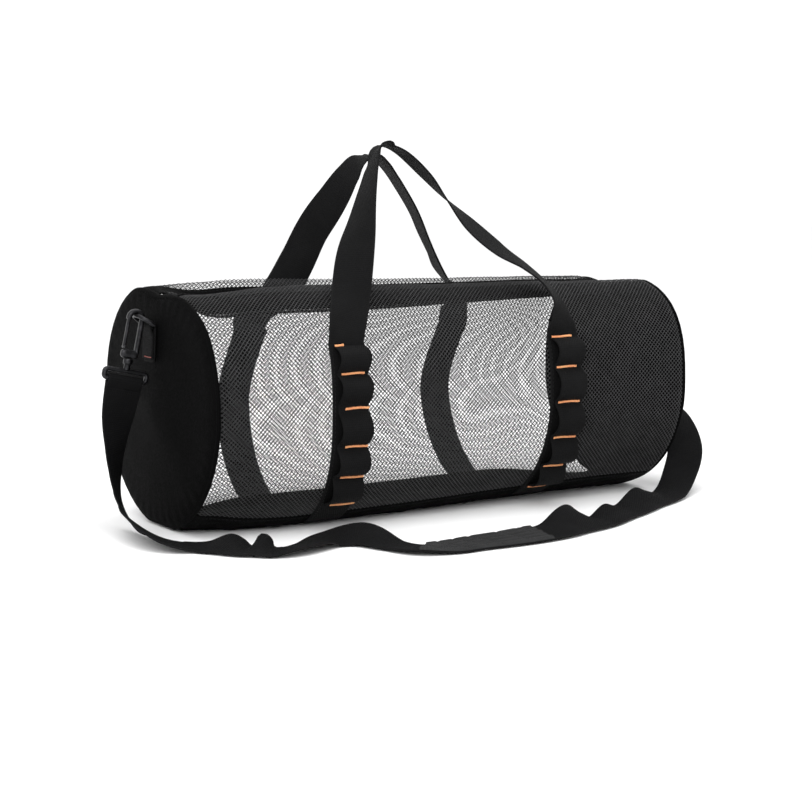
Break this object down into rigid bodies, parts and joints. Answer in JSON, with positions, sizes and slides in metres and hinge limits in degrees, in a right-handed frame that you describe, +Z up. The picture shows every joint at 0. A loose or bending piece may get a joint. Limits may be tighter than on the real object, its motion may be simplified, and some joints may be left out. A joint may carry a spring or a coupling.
{
  "type": "net barrel bag",
  "caption": "Barrel-shaped see-through net beach bag with a zip along the top, solid ends, webbing handles, looped front straps and a loose shoulder strap on snap hooks.",
  "frame": {"origin": "on the surface that the bag rests on, under the middle of the barrel", "axes": "+X along the barrel towards the end whose hook is out of sight, -Y towards the front with the looped straps, +Z up"},
  "size_m": [0.7102, 0.4094, 0.395],
  "materials": {
    "net": "matt black knitted polyester net",
    "cloth": "black coated woven polyester",
    "webbing": "black woven polypropylene webbing",
    "zip": "black nylon coil",
    "thread": "orange polyester sewing thread",
    "metal": "dark gunmetal plating"
  },
  "bodies": {
    "bag": {"net_front": "net", "net_back": "net", "zip_panel_front": "cloth", "zip_panel_back": "cloth", "bottom_panel": "cloth", "zip_coil": "zip", "zip_slider": "metal", "zip_pull": "metal", "end_left": "cloth", "end_right": "cloth", "piping_left": "cloth", "piping_right": "cloth", "handle_front": "webbing", "handle_back": "webbing", "loops_left": "webbing", "loops_right": "webbing", "ring_tab_left": "webbing", "ring_tab_right": "webbing", "ring_left": "metal", "ring_right": "metal", "hook_body_left": "metal", "hook_eye_left": "metal", "hook_right": "metal", "shoulder_strap": "webbing", "strap_pad": "webbing"},
    "gate": {"hook_gate_left": "metal"}
  },
  "joints": [
    {"name": "gate_hinge", "type": "hinge", "parent": "bag", "child": "gate", "pos_m": [-0.32865, 0, 0.18659], "axis": [0, 1, 0], "range_deg": [0, 20], "stiffness_Nm_per_rad": 0.05}
  ]
}
